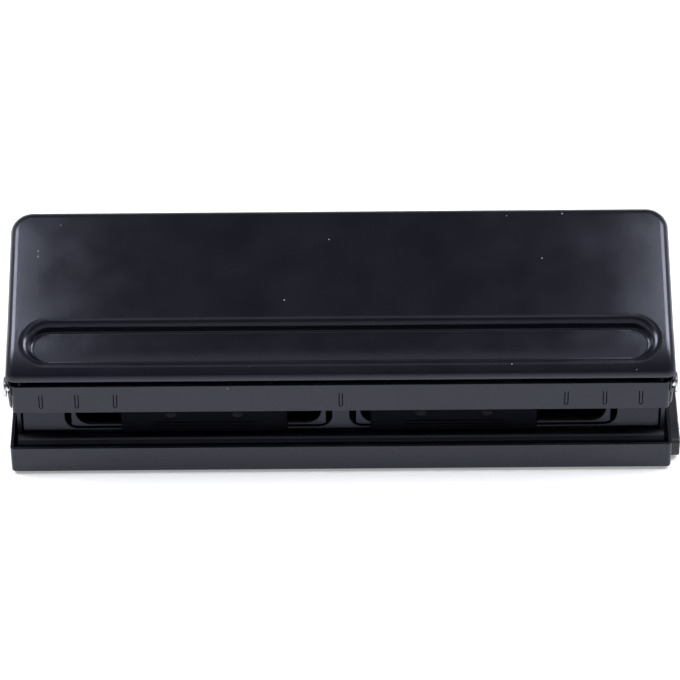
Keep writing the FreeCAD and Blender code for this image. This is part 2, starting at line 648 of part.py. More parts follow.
def lever_side_outline():
    """What stays of the lever's deep pan, seen from the side: shallow skirt, deep front ear."""
    front = LEVER_FRONT - BEYOND
    rear = LEVER_FRONT + LEVER_LENGTH + BEYOND
    top = LEVER_TOP + BEYOND
    rear_edge = LEVER_TOP - LEVER_REAR_DEPTH
    ear_rear = LEVER_FRONT + EAR_WIDTH
    return [
        (front, top, 0),
        (rear, top, 0),
        (rear, rear_edge, 0),
        (LEVER_FRONT + SKIRT_TAPER_LENGTH, rear_edge, SKIRT_TAPER_R),
        (ear_rear + EAR_SLOPE, LEVER_TOP - LEVER_SKIRT_DEPTH, EAR_SLOPE_R),
        (ear_rear, EAR_BOTTOM, EAR_CORNER_R),
        (LEVER_FRONT, EAR_BOTTOM, EAR_CORNER_R),
        (LEVER_FRONT, LEVER_TOP - LEVER_BEND_R, 0),
        (front, LEVER_TOP - LEVER_BEND_R, 0),
    ]


def lever_pan(inset, bottom):
    """The lever's deep pan without its recess, its faces moved inward by an inset."""
    half = LEVER_HALF - inset
    top = LEVER_TOP - inset
    front = LEVER_FRONT + inset
    fold_r = LEVER_FOLD_R - inset
    pan = block(-half, half, front, LEVER_FRONT + LEVER_LENGTH - inset, bottom, top)
    pan = pan.makeFillet(LEVER_CORNER_R - inset, upright_edges(pan, lambda x, y: y > RECESS_MIDDLE))
    pan = pan.makeFillet(fold_r, edges_where(pan, lambda x, y, z: near(z, top) and near(y, front)))
    rim = edges_where(
        pan, lambda x, y, z: z > bottom + TOLERANCE and (near(z, top) or y < front + fold_r + TOLERANCE)
        and (near(abs(x), half) or y > RECESS_MIDDLE))
    corners = upright_edges(pan, lambda x, y: near(y, front))
    return pan.makeFillet(LEVER_BEND_R - inset, rim + corners)


def make_lever():
    sheet = LEVER_SHEET
    inside = LEVER_HALF - sheet
    low = EAR_BOTTOM - BEYOND
    shell = lever_pan(0, low).cut(lever_pan(sheet, low - BEYOND))
    shell = shell.common(side_profile(lever_side_outline(), -LEVER_HALF - BEYOND, LEVER_HALF + BEYOND))
    shell = shell.cut(block(-inside, inside, LEVER_FRONT - BEYOND, LEVER_FRONT + 2 * sheet, low,
                            LEVER_TOP - LEVER_LIP_DEPTH))
    spread = sheet / math.sin(math.atan2(RECESS_DEPTH, RECESS_WALL))
    shell = shell.fuse(recess_dish(spread, LEVER_ABOVE - sheet / 2, RECESS_UNDER))
    shell = shell.makeFillet(RECESS_RIM_UNDER_R, edges_where(
        shell, lambda x, y, z: near(z, LEVER_TOP - sheet) and abs(x) < RECESS_HALF + spread
        and abs(y - RECESS_MIDDLE) < RECESS_WIDTH / 2 + spread))
    hollow = recess_dish(0, LEVER_ABOVE + RECESS_DEPTH / 2, LEVER_ABOVE - RECESS_DEPTH)
    hollow = hollow.makeFillet(RECESS_FLOOR_R, edges_where(
        hollow, lambda x, y, z: near(z, LEVER_TOP - RECESS_DEPTH)))
    shell = shell.cut(hollow)
    rim = edges_where(
        shell, lambda x, y, z: near(z, LEVER_TOP) and abs(x) < RECESS_HALF + TOLERANCE
        and abs(y - RECESS_MIDDLE) < RECESS_WIDTH / 2 + TOLERANCE)
    shell = shell.makeFillet(RECESS_RIM_R, rim)
    bore = rod(inside - BEYOND, PIVOT_SETBACK, PIVOT_HEIGHT, RIVET_R + RUNNING, sheet + 2 * BEYOND, (1, 0, 0))
    shell = shell.cut(both_sides(bore))
    shell.rotate(vec(0, PIVOT_SETBACK, PIVOT_HEIGHT), FreeCAD.Vector(1, 0, 0), REST_ANGLE)
    return shell


def pin_places(head_x):
    return [head_x - PIN_PITCH, head_x, head_x + PIN_PITCH]


def grip_rivet_places(head_x):
    return [head_x - GRIP_RIVET_SPACING / 2, head_x + GRIP_RIVET_SPACING / 2]


def make_carrier(head_x):
    x0 = head_x - CARRIER_HALF
    x1 = head_x + CARRIER_HALF
    body = block(x0, x1, CARRIER_FRONT, CARRIER_REAR, CARRIER_BOTTOM, CARRIER_TOP)
    body = body.makeFillet(CARRIER_EDGE_R, edges_where(body, lambda x, y, z: near(z, CARRIER_TOP)))
    cuts = [
        block(x0 - BEYOND, x1 + BEYOND,
              CARRIER_FRONT - BEYOND, PIN_SETBACK + THROAT_DEPTH, DIE_TOP, THROAT_TOP),
        block(head_x - DIE_HALF, head_x + DIE_HALF,
              PIN_SETBACK - DIE_HALF_DEPTH, PIN_SETBACK + DIE_HALF_DEPTH,
              DIE_TOP - DIE_THICK, DIE_TOP + TOLERANCE),
        rod(x0 - BEYOND, ROD_SETBACK, ROD_HEIGHT, ROD_R + RUNNING, 2 * CARRIER_HALF + 2 * BEYOND, (1, 0, 0)),
    ]
    for x in pin_places(head_x):
        cuts.append(rod(x, PIN_SETBACK, THROAT_TOP - BEYOND, PIN_R + RUNNING, CARRIER_TOP, (0, 0, 1)))
        cuts.append(rod(x, PIN_SETBACK, SPRING_POCKET_FLOOR, SPRING_POCKET_R, CARRIER_TOP, (0, 0, 1)))
        cuts.append(rod(x, PIN_SETBACK, CARRIER_BOTTOM - BEYOND,
                        CHIP_HOLE_R, DIE_TOP - CARRIER_BOTTOM, (0, 0, 1)))
    for x in grip_rivet_places(head_x):
        cuts.append(rod(x, CARRIER_FRONT - BEYOND, GRIP_RIVET_HEIGHT, GRIP_RIVET_R,
                        GRIP_RIVET_GRAB + BEYOND, (0, 1, 0)))
    return body.cut(cuts)


def make_die_insert(head_x):
    bottom = DIE_TOP - DIE_THICK
    insert = block(head_x - DIE_HALF, head_x + DIE_HALF, PIN_SETBACK - DIE_HALF_DEPTH,
                   PIN_SETBACK + DIE_HALF_DEPTH, bottom, DIE_TOP)
    through = DIE_THICK + 2 * BEYOND
    return insert.cut([rod(x, PIN_SETBACK, bottom - BEYOND, PIN_R + RUNNING, through, (0, 0, 1))
                       for x in pin_places(head_x)])


def make_pin(x):
    """A turned punch pin: hollow-ground tip, straight shank, domed head."""
    shank = rod(x, PIN_SETBACK, PIN_TIP, PIN_R, PIN_HEAD_UNDER - PIN_TIP + BEYOND, (0, 0, 1))
    head = rod(x, PIN_SETBACK, PIN_HEAD_UNDER, PIN_HEAD_R, PIN_HEAD_LENGTH, (0, 0, 1))
    crown = Part.makeSphere(PIN_DOME_R, vec(x, PIN_SETBACK, PIN_TOP - PIN_DOME_R))
    below_crown = rod(x, PIN_SETBACK, PIN_HEAD_UNDER - BEYOND, PIN_DOME_R,
                      PIN_HEAD_LENGTH - PIN_DOME_R + BEYOND, (0, 0, 1))
    head = head.common(crown.fuse(below_crown))
    cup_r = (PIN_R * PIN_R + PIN_TIP_CUP * PIN_TIP_CUP) / (2 * PIN_TIP_CUP)
    cup = Part.makeSphere(cup_r, vec(x, PIN_SETBACK, PIN_TIP + PIN_TIP_CUP - cup_r))
    return shank.cut(cup).fuse(head).removeSplitter()


def make_spring(x):
    """The closed coil round a pin, between the pocket's floor and the pin's head."""
    length = PIN_HEAD_UNDER - SPRING_POCKET_FLOOR
    outer = rod(x, PIN_SETBACK, SPRING_POCKET_FLOOR, SPRING_R, length, (0, 0, 1))
    inner = rod(x, PIN_SETBACK, SPRING_POCKET_FLOOR - BEYOND, SPRING_R - SPRING_WIRE,
                length + 2 * BEYOND, (0, 0, 1))
    return outer.cut(inner)


def make_grip(head_x):
    half = GRIP_WIDTH / 2
    plate = rounded_block(head_x - half, head_x + half, GRIP_FRONT, GRIP_BACK,
                          GRIP_BOTTOM, GRIP_BOTTOM + GRIP_HEIGHT, GRIP_CORNER_R, "Y")
    plate = plate.makeFillet(GRIP_EDGE_R, edges_where(plate, lambda x, y, z: near(y, GRIP_FRONT)))
    neck = rounded_block(head_x - NECK_HALF, head_x + NECK_HALF, GRIP_BACK - TOUCH_GAP, CARRIER_FRONT,
                         SLIDE_WINDOW_BOTTOM + NECK_GAP, SLIDE_WINDOW_TOP - NECK_GAP, NECK_CORNER_R, "Y")
    ribs = []
    for i in range(GRIP_RIB_COUNT):
        height = GRIP_BOTTOM + GRIP_RIB_ABOVE_EDGE + i * GRIP_RIB_PITCH
        ribs.append(rod(head_x - GRIP_RIB_LENGTH / 2, GRIP_FRONT, height,
                        GRIP_RIB_R, GRIP_RIB_LENGTH, (1, 0, 0)))
    holes = [rod(x, GRIP_FRONT - BEYOND, GRIP_RIVET_HEIGHT, GRIP_RIVET_R,
                 CARRIER_FRONT - GRIP_FRONT + 2 * BEYOND, (0, 1, 0)) for x in grip_rivet_places(head_x)]
    return plate.fuse([neck] + ribs).cut(holes)


def make_grip_rivets(head_x):
    rivets = []
    for x in grip_rivet_places(head_x):
        shank = rod(x, GRIP_FRONT, GRIP_RIVET_HEIGHT, GRIP_RIVET_R,
                    CARRIER_FRONT - GRIP_FRONT + GRIP_RIVET_GRAB, (0, 1, 0))
        head = dome(x, GRIP_FRONT, GRIP_RIVET_HEIGHT, GRIP_RIVET_HEAD_R, GRIP_RIVET_HEAD, (0, -1, 0))
        rivets.append(shank.fuse(head))
    return Part.makeCompound(rivets)


def make_chip_drawer():
    wall = DRAWER_WALL
    left = -BASE_WIDTH / 2 + BASE_SHEET + DRAWER_LEFT_GAP
    right = BASE_WIDTH / 2 + DRAWER_PLATE_GAP
    outer = rounded_block(left, right + DRAWER_PLATE_THICK, DRAWER_FRONT, DRAWER_REAR,
                          DRAWER_BOTTOM, DRAWER_TOP, DRAWER_CORNER_R, "Z")
    inner = block(left + wall, right, DRAWER_FRONT + wall, DRAWER_REAR - wall,
                  DRAWER_BOTTOM + wall, DRAWER_TOP + BEYOND)
    past_end = block(right, right + DRAWER_PLATE_THICK + BEYOND, DRAWER_FRONT - BEYOND, DRAWER_REAR + BEYOND,
                     DRAWER_BOTTOM - BEYOND, DRAWER_TOP + BEYOND)
    end = rounded_block(right, right + DRAWER_PLATE_THICK,
                        DRAWER_FRONT - DRAWER_PLATE_MARGIN, DRAWER_REAR + DRAWER_PLATE_MARGIN,
                        DRAWER_BOTTOM - DRAWER_PLATE_UNDER_FLOOR, DRAWER_TOP + DRAWER_PLATE_OVER_TOP,
                        DRAWER_PLATE_CORNER_R, "X")
    end = end.makeFillet(DRAWER_PLATE_EDGE_R, edges_where(
        end, lambda x, y, z: near(x, right + DRAWER_PLATE_THICK)))
    return outer.cut([inner, past_end]).fuse(end)


def build():
    parts = {}
    parts["base_tray"] = make_base_tray()
    for name, (x, y) in foot_places().items():
        parts[name] = make_foot(x, y)
    parts["die_plate"] = make_die_plate()
    parts["frame_rivets"] = make_frame_rivets()
    parts["scale_rail"] = make_scale_rail()
    parts["front_panel"] = make_front_panel()
    parts["slide_frame_right"] = make_slide_frame()
    parts["slide_frame_left"] = mirrored(parts["slide_frame_right"])
    parts["rear_panel"] = make_rear_panel()
    parts["guide_rod"] = make_guide_rod()
    parts["pivot_rivet_right"] = make_pivot_rivet()
    parts["pivot_rivet_left"] = mirrored(parts["pivot_rivet_right"])
    parts["pivot_washer_right"] = make_pivot_washer()
    parts["pivot_washer_left"] = mirrored(parts["pivot_washer_right"])
    parts["lever"] = make_lever()
    for side, head_x in (("left", LEFT_HEAD_X), ("right", RIGHT_HEAD_X)):
        parts["punch_carrier_" + side] = make_carrier(head_x)
        parts["die_insert_" + side] = make_die_insert(head_x)
        parts["finger_grip_" + side] = make_grip(head_x)
        parts["grip_rivets_" + side] = make_grip_rivets(head_x)
        for place, x in zip(("a", "b", "c"), pin_places(head_x)):
            parts["punch_pin_" + side + "_" + place] = make_pin(x)
            parts["pin_spring_" + side + "_" + place] = make_spring(x)
    parts["chip_drawer"] = make_chip_drawer()
    return parts


def main():
    os.makedirs("parts", exist_ok=True)
    for name, shape in build().items():
        shape.exportStep(os.path.join("parts", name + ".step"))
        box = shape.BoundBox
        print("%-22s solids %d valid %s volume %9.1f  X %7.2f %7.2f  Y %7.2f %7.2f  Z %6.2f %6.2f" % (
            name, len(shape.Solids), shape.isValid(), shape.Volume,
            box.XMin, box.XMax, box.YMin, box.YMax, box.ZMin, box.ZMax))
    print("pin travel %.3f mm, %.6f m per radian of the lever" % (PIN_TRAVEL, PIN_TRAVEL / REST / 1000))
    print("left head slides %.2f to %.2f mm" % (-HEAD_FAR - LEFT_HEAD_X, -HEAD_NEAR - LEFT_HEAD_X))
    print("right head slides %.2f to %.2f mm" % (HEAD_NEAR - RIGHT_HEAD_X, HEAD_FAR - RIGHT_HEAD_X))
    print("pivot at Y %.3f Z %.3f, spring seat Z %.3f, drawer travel %.1f" % (
        PIVOT_SETBACK + FRONT, PIVOT_HEIGHT + GROUND, SPRING_POCKET_FLOOR + GROUND, DRAWER_TRAVEL))


main()
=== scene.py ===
import json
import math

import bmesh
import bpy
from mathutils import Matrix, Vector


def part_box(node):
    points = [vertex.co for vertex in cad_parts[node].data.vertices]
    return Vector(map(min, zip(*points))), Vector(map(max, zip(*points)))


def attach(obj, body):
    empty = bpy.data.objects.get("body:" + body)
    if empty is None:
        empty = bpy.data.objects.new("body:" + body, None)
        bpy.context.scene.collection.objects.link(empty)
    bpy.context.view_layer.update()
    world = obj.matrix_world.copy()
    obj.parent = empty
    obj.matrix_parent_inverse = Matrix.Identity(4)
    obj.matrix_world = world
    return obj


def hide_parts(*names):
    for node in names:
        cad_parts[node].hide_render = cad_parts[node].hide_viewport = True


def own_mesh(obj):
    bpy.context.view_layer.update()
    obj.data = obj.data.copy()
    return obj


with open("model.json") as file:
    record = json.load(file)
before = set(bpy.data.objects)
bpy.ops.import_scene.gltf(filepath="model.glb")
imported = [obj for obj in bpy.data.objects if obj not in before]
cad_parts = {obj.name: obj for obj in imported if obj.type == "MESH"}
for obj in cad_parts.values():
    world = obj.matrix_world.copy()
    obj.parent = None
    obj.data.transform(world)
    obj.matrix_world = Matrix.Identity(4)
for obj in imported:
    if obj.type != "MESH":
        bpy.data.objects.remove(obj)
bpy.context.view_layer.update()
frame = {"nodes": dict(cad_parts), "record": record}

bl_info = {
    "name": "Six-hole punch",
    "version": (1, 0, 0),
    "blender": (4, 5, 0),
    "location": "3D View > Sidebar > Punch",
    "description": "Finishes and small pieces of a six-hole desk punch",
    "category": "Object",
}

# How the photograph was framed, in its own pixels and in real sizes
PHOTO_PIXELS = 680
FOCAL_PIXELS = 4100.0
SENSOR_WIDTH = 36.0
CAMERA_PITCH = math.radians(42.0)
CAMERA_ROLL = 0.0077
BASE_EDGE_PIXELS = 658.6
BASE_EDGE_COLUMN = 341.3
BASE_EDGE_ROW = 469.8

MM = 0.001
SIDES = ("left", "right")
PIN_LETTERS = ("a", "b", "c")

# Where the lever's sheet starts to fall away, and how fast (per square of the reach)
CROWN_END_START = 48 * MM
CROWN_END_FALL = 0.82
CROWN_REAR_START = 24 * MM
CROWN_REAR_FALL = 2.0
CROWN_FRONT_START = -18 * MM
CROWN_FRONT_FALL = 11.0
# How much the panel's sheet is dished back on its way up, as a slope
PANEL_LEAN = 0.24
# Red, green and blue of the grips' plastic, as shares of the record's grip colour: well below that
# colour, and bluer
GRIP_DARKENING = (0.24, 0.27, 0.42)

# The U-shaped marks stamped in the scale rail, as the solids have them
RAIL_BEHIND_PLATE = 0.1 * MM
MARK_OFFSETS = (0.0, 89.7 * MM, 105.0 * MM, 119.3 * MM)
MARK_PITCH = 1.3 * MM
MARK_LENGTH = 7.2 * MM
MARK_ABOVE_EDGE = 2.4 * MM
MARK_FLOOR = 0.3 * MM
MARK_STRIP = 0.12 * MM

# Roughness of the enamel, from its glossy patches to its dull ones
SHEET_ROUGHNESS = (0.26, 0.36)
LEVER_ROUGHNESS = (0.19, 0.26)
# Specks of dust: the cells they fall in, how many of the cells hold one, and their colour
DUST_CELL = 4.5 * MM
DUST_SHARE = 0.07
DUST_COLOUR = (0.35, 0.35, 0.38)
# Which way a metal's fine grain runs, as the stretch along each axis
EVEN_GRAIN = (1.0, 1.0, 1.0)
PIN_GRAIN = (1.0, 1.0, 9.0)
ROD_GRAIN = (8.0, 1.0, 1.0)

COIL_STEPS = 40
WIRE_SIDES = 10
FOOT_EDGE = 0.4 * MM
FOOT_GROOVE_HALF = 0.5 * MM
FOOT_GROOVE_PLACE = 0.6

# The lamps' places, aims and sizes in metres; the left lamp mirrors the right one
SIDE_LAMP_PLACE = (0.68, 0.1, 0.78)
SIDE_LAMP_TARGET = (0.0, 0.0, 0.05)
SIDE_LAMP_SIZE = (0.5, 0.55)
FRONT_LAMP_PLACE = (0.0, -0.45, 1.6)
FRONT_LAMP_TARGET = (0.0, 0.0, 0.0)
FRONT_LAMP_SIZE = (1.3, 0.5)
LAMP_COLOUR = (0.97, 0.98, 1.0)
SKY_COLOUR = (0.85, 0.9, 1.0, 1.0)
SKY_STRENGTH = 0.1
# How much the floor is lifted toward white where it is seen, near the part and far from it
NEAR_GLOW = 0.3
FAR_GLOW = 0.5
NEAR_DISTANCE = 0.3
FAR_DISTANCE = 1.2
BACKDROP_BEND = 0.6

PAINTED_NODES = ("base_tray", "die_plate", "scale_rail", "rear_panel")
WINDOW_NODES = ("front_panel", "slide_frame_left", "slide_frame_right")
FOOT_NODES = ("foot_front_left", "foot_front_right", "foot_rear_left", "foot_rear_right")


def slot_colour(slot):
    """The colour that the record gives a material slot."""
    for entry in frame["record"]["materials"]:
        if entry["slot"] == slot:
            return tuple(entry["base_color"][:3])
    raise ValueError("no material slot " + slot)


def colour_property(name, description, slot):
    return bpy.props.FloatVectorProperty(
        name=name, description=description, default=slot_colour(slot), subtype="COLOR", size=3,
        min=0.0, max=1.0)


def length_property(name, description, default):
    return bpy.props.FloatProperty(
        name=name, description=description, default=default, subtype="DISTANCE", unit="LENGTH",
        min=0.0, precision=5)


class PunchColours(bpy.types.PropertyGroup):
    """Colours of the finishes."""

    enamel: colour_property("Enamel", "Baked enamel on the sheet metal", "black_paint")
    grip: colour_property("Grips", "Plastic of the finger grips", "grip_plastic")
    drawer: colour_property("Drawer", "Plastic of the chip drawer", "drawer_plastic")
    rubber: colour_property("Feet", "Rubber of the feet", "foot_rubber")
    plated: colour_property("Rivets", "Plated steel of the rivets", "plated_steel")
    ground: colour_property("Guide rod", "Ground steel of the guide rod", "ground_steel")
    hardened: colour_property("Pins and dies", "Hardened steel", "hard_steel")
    wire: colour_property("Springs", "Spring wire", "spring_steel")
    cast: colour_property("Carriers", "Cast alloy of the punch carriers", "cast_zinc")
    nylon: colour_property("Washers", "Nylon of the pivot washers", "washer_nylon")
    dark: colour_property("Grip rivets", "Blackened rivets in the grips", "dark_rivet")
    floor: bpy.props.FloatVectorProperty(
        name="Floor", description="Pale floor and backdrop", default=(0.82, 0.82, 0.83),
        subtype="COLOR", size=3, min=0.0, max=1.0)


class PunchSizes(bpy.types.PropertyGroup):
    """Sizes of the pieces and grains that the frame leaves open."""

    peel_size: length_property("Orange peel", "Width of a dimple in the enamel", 1.3 * MM)
    peel_height: length_property("Peel height", "Height of the enamel's dimples", 0.018 * MM)
    wire_thickness: length_property("Spring wire", "Thickness of the springs' wire", 0.9 * MM)
    coil_count: bpy.props.IntProperty(
        name="Spring coils", description="Turns of each pin spring", default=7, min=3, max=20)
    foot_groove: length_property("Foot groove", "Depth of the groove under a foot", 0.25 * MM)
    mark_shade_line: length_property("Mark line", "Width of the line in a stamped mark", 0.4 * MM)


class PunchStage(bpy.types.PropertyGroup):
    """Floor, lamps and backdrop."""

    floor_radius: length_property("Floor radius", "From the object to the backdrop", 3.0)
    wall_height: length_property("Backdrop height", "Height of the backdrop", 1.6)
    side_power: bpy.props.FloatProperty(
        name="Side lamps", description="Power of each side lamp", default=11.0, unit="POWER", min=0.0)
    front_power: bpy.props.FloatProperty(
        name="Front lamp", description="Power of the front lamp", default=1.6, unit="POWER", min=0.0)


class Finish:
    """One procedural material and the helpers that wire its nodes."""

    def __init__(self, name):
        self.material = bpy.data.materials.new(name)
        self.material.use_nodes = True
        self.tree = self.material.node_tree
        self.tree.nodes.clear()
        output = self.add("ShaderNodeOutputMaterial")
        self.shader = self.add("ShaderNodeBsdfPrincipled")
        self.link(self.shader.outputs["BSDF"], output.inputs["Surface"])
        self.place = self.add("ShaderNodeTexCoord").outputs["Object"]
        self.normal = None

    def add(self, kind, **settings):
        node = self.tree.nodes.new(kind)
        for key, value in settings.items():
            setattr(node, key, value)
        return node

    def link(self, source, target):
        self.tree.links.new(source, target)

    def set(self, **values):
        """Fixed values straight on the shader's own sockets."""
        for key, value in values.items():
            self.shader.inputs[key.replace("_", " ")].default_value = value

    def stretched(self, scale):
        """The place, stretched along an axis to draw grain."""
        mapping = self.add("ShaderNodeMapping")
        mapping.inputs["Scale"].default_value = scale
        self.link(self.place, mapping.inputs["Vector"])
        return mapping.outputs["Vector"]

    def noise(self, size, detail=2.0, rough=0.5, place=None):
        """Noise whose lumps are about one size across, in metres."""
        node = self.add("ShaderNodeTexNoise")
        node.inputs["Scale"].default_value = 1.0 / size
        node.inputs["Detail"].default_value = detail
        node.inputs["Roughness"].default_value = rough
        self.link(place or self.place, node.inputs["Vector"])
        return node.outputs["Fac"]

    def calc(self, operation, first, second=0.0):
        """A sum done by a Math node on sockets or fixed numbers."""
        node = self.add("ShaderNodeMath", operation=operation)
        for socket, value in zip(node.inputs, (first, second)):
            if isinstance(value, bpy.types.NodeSocket):
                self.link(value, socket)
            else:
                socket.default_value = value
        return node.outputs[0]

    def spread(self, value, low, high, from_low=0.3, from_high=0.7):
        node = self.add("ShaderNodeMapRange")
        node.inputs["From Min"].default_value = from_low
        node.inputs["From Max"].default_value = from_high
        node.inputs["To Min"].default_value = low
        node.inputs["To Max"].default_value = high
        self.link(value, node.inputs["Value"])
        return node.outputs["Result"]

    def blend_colours(self, share, first, second):
        """A colour between two, each of them a colour or a socket."""
        node = self.add("ShaderNodeMix", data_type="RGBA")
        self.link(share, node.inputs[0])
        for socket, colour in ((node.inputs[6], first), (node.inputs[7], second)):
            if isinstance(colour, bpy.types.NodeSocket):
                self.link(colour, socket)
            else:
                socket.default_value = (*colour, 1.0)
        return node.outputs[2]

    def bump(self, height, distance, strength=1.0):
        node = self.add("ShaderNodeBump")
        node.inputs["Strength"].default_value = strength
        node.inputs["Distance"].default_value = distance
        self.link(height, node.inputs["Height"])
        if self.normal is not None:
            self.link(self.normal, node.inputs["Normal"])
        self.normal = node.outputs["Normal"]

    def edges(self, radius, low, high):
        """How near a sheet's edge a point lies, from a rounded normal against the true one."""
        rounded = self.add("ShaderNodeBevel", samples=4)
        rounded.inputs["Radius"].default_value = radius
        facing = self.add("ShaderNodeVectorMath", operation="DOT_PRODUCT")
        true_normal = self.add("ShaderNodeNewGeometry").outputs["Normal"]
        self.link(rounded.outputs["Normal"], facing.inputs[0])
        self.link(true_normal, facing.inputs[1])
        return self.spread(facing.outputs["Value"], low, high, 1.0, 0.8)

    def finished(self, colour=None, roughness=None):
        if colour is not None:
            self.link(colour, self.shader.inputs["Base Color"])
        if roughness is not None:
            self.link(roughness, self.shader.inputs["Roughness"])
        if self.normal is not None:
            self.link(self.normal, self.shader.inputs["Normal"])
        return self.material


def scaled(colour, factor):
    return tuple(min(1.0, c * factor) for c in colour)


def press_crown(finish):
    """The slight fall of the lever's sheet toward its ends, its front fold and its rear edge."""
    split = finish.add("ShaderNodeSeparateXYZ")
    finish.link(finish.place, split.inputs[0])
    across = finish.calc("ABSOLUTE", split.outputs["X"])
    along = split.outputs["Y"]
    end_drop = fall(finish, finish.calc("SUBTRACT", across, CROWN_END_START), CROWN_END_FALL)
    rear_drop = fall(finish, finish.calc("SUBTRACT", along, CROWN_REAR_START), CROWN_REAR_FALL)
    front_drop = fall(finish, finish.calc("SUBTRACT", CROWN_FRONT_START, along), CROWN_FRONT_FALL)
    drop = finish.calc("ADD", finish.calc("ADD", end_drop, rear_drop), front_drop)
    finish.bump(drop, 1.0)


def fall(finish, reach, rate):
    """How far the sheet has dropped at a reach past the place where it starts to fall."""
    past = finish.calc("MAXIMUM", reach, 0.0)
    return finish.calc("MULTIPLY", finish.calc("POWER", past, 2.0), -rate)


def sheet_lean(finish, slope):
    """A steady fall of the sheet's face toward its upper edge."""
    split = finish.add("ShaderNodeSeparateXYZ")
    finish.link(finish.place, split.inputs[0])
    finish.bump(finish.calc("MULTIPLY", split.outputs["Z"], -slope), 1.0)


def dusted(finish, tint):
    """A few pale specks of dust and the tint that they lie on."""
    cells = finish.add("ShaderNodeTexVoronoi")
    cells.inputs["Scale"].default_value = 1.0 / DUST_CELL
    cells.inputs["Randomness"].default_value = 1.0
    finish.link(finish.place, cells.inputs["Vector"])
    speck = finish.spread(cells.outputs["Distance"], 1.0, 0.0, 0.04, 0.07)
    lottery = finish.add("ShaderNodeSeparateColor")
    finish.link(cells.outputs["Color"], lottery.inputs[0])
    chosen = finish.calc("LESS_THAN", lottery.outputs[0], DUST_SHARE)
    return finish.blend_colours(finish.calc("MULTIPLY", speck, chosen), tint, DUST_COLOUR)


def enamel_finish(name, colour, sizes, roughness, crowned=False, lean=0.0):
    """Baked black enamel: orange peel, faint waves, and a thinner coat along cut edges; the edges are
    lightened, partly as wear and partly as a painted highlight.
    """
    finish = Finish(name)
    finish.set(IOR=1.48, Specular_Tint=(0.76, 0.8, 1.0, 1.0))
    cloud = finish.noise(30 * MM, 1.0)
    shade = finish.spread(cloud, 0.0, 1.0)
    tint = finish.blend_colours(shade, scaled(colour, 0.6), scaled(colour, 0.8))
    # Edges lightened toward three times the enamel's colour: partly thin-coat wear, partly a painted
    # highlight along rims and folds.
    wear_and_edge_highlight = finish.edges(0.35 * MM, 0.0, 0.5)
    tint = finish.blend_colours(wear_and_edge_highlight, tint, scaled(colour, 3.0))
    tint = dusted(finish, tint)
    if crowned:
        press_crown(finish)
    if lean:
        sheet_lean(finish, lean)
    finish.bump(finish.noise(38 * MM, 1.0), 0.12 * MM)
    finish.bump(finish.noise(sizes.peel_size, 2.0), sizes.peel_height)
    smear = finish.noise(14 * MM, 3.0, 0.55)
    return finish.finished(tint, finish.spread(smear, *roughness))


def steel_finish(name, colour, rough_low, rough_high, grain, metallic=1.0):
    """Bare or plated steel with fine grain drawn out along one axis."""
    finish = Finish(name)
    finish.set(Metallic=metallic)
    streaks = finish.noise(0.6 * MM, 3.0, 0.6, finish.stretched(grain))
    stains = finish.spread(finish.noise(6 * MM, 3.0), 0.0, 1.0)
    tint = finish.blend_colours(stains, scaled(colour, 0.82), scaled(colour, 1.08))
    finish.bump(streaks, 0.004 * MM)
    return finish.finished(tint, finish.spread(streaks, rough_low, rough_high))


def cast_finish(name, colour):
    """As-cast light alloy: coarse skin with small pits."""
    finish = Finish(name)
    finish.set(Metallic=0.85)
    skin = finish.noise(0.8 * MM, 6.0, 0.7)
    stains = finish.spread(finish.noise(9 * MM, 4.0), 0.0, 1.0)
    tint = finish.blend_colours(stains, scaled(colour, 0.75), scaled(colour, 1.1))
    finish.bump(skin, 0.03 * MM)
    return finish.finished(tint, finish.spread(skin, 0.42, 0.62))


def plastic_finish(name, colour, grain_size, grain_height, rough_low, rough_high, shine=0.5):
    """Moulded plastic with a spark-eroded grain and faint flow marks."""
    finish = Finish(name)
    finish.set(IOR=1.46, Specular_IOR_Level=shine)
    flow = finish.noise(12 * MM, 2.0, 0.5, finish.stretched((0.3, 1.0, 1.0)))
    shade = finish.spread(flow, 0.0, 1.0)
    tint = finish.blend_colours(shade, scaled(colour, 0.85), scaled(colour, 1.2))
    # Edges lightened toward two and a half times the plastic's colour: partly wear, partly a painted
    # highlight.
    wear_and_edge_highlight = finish.edges(0.3 * MM, 0.0, 0.35)
    tint = finish.blend_colours(wear_and_edge_highlight, tint, scaled(colour, 2.5))
    finish.bump(finish.noise(grain_size, 3.0), grain_height)
    return finish.finished(tint, finish.spread(flow, rough_low, rough_high))


def rubber_finish(name, colour):
    """Soft rubber with a dull bloom and a fine tooth."""
    finish = Finish(name)
    finish.set(IOR=1.5)
    bloom = finish.noise(3 * MM, 4.0)
    shade = finish.spread(bloom, 0.0, 1.0)
    tint = finish.blend_colours(shade, scaled(colour, 0.8), scaled(colour, 1.5))
    finish.bump(finish.noise(0.25 * MM, 3.0), 0.02 * MM)
    return finish.finished(tint, finish.spread(bloom, 0.7, 0.9))


def dress(node, material):
    """Puts a finish on a CAD node's own slot."""
    frame["nodes"][node].data.materials[0] = material


def add_piece(name, mesh, material, body, replaced=()):
    """A finished mesh as a piece that rides on a body."""
    mesh.materials.append(material)
    piece = bpy.data.objects.new(name, mesh)
    bpy.context.scene.collection.objects.link(piece)
    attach(piece, body)
    if replaced:
        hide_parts(*replaced)
    return piece


def mesh_from(name, shape, smooth_angle=math.radians(35.0)):
    """A mesh from bmesh, smooth but for its sharp edges."""
    bmesh.ops.recalc_face_normals(shape, faces=shape.faces)
    for face in shape.faces:
        face.smooth = True
    for edge in shape.edges:
        if len(edge.link_faces) == 2 and edge.calc_face_angle(0.0) > smooth_angle:
            edge.smooth = False
    mesh = bpy.data.meshes.new(name)
    shape.to_mesh(mesh)
    shape.free()
    return mesh


def arc(centre, radius, start, end, steps):
    """Points of an arc in a lathe's (radius, height) plane, angles in degrees."""
    points = []
    for i in range(steps + 1):
        angle = math.radians(start + (end - start) * i / steps)
        points.append((centre[0] + radius * math.cos(angle), centre[1] + radius * math.sin(angle)))
    return points


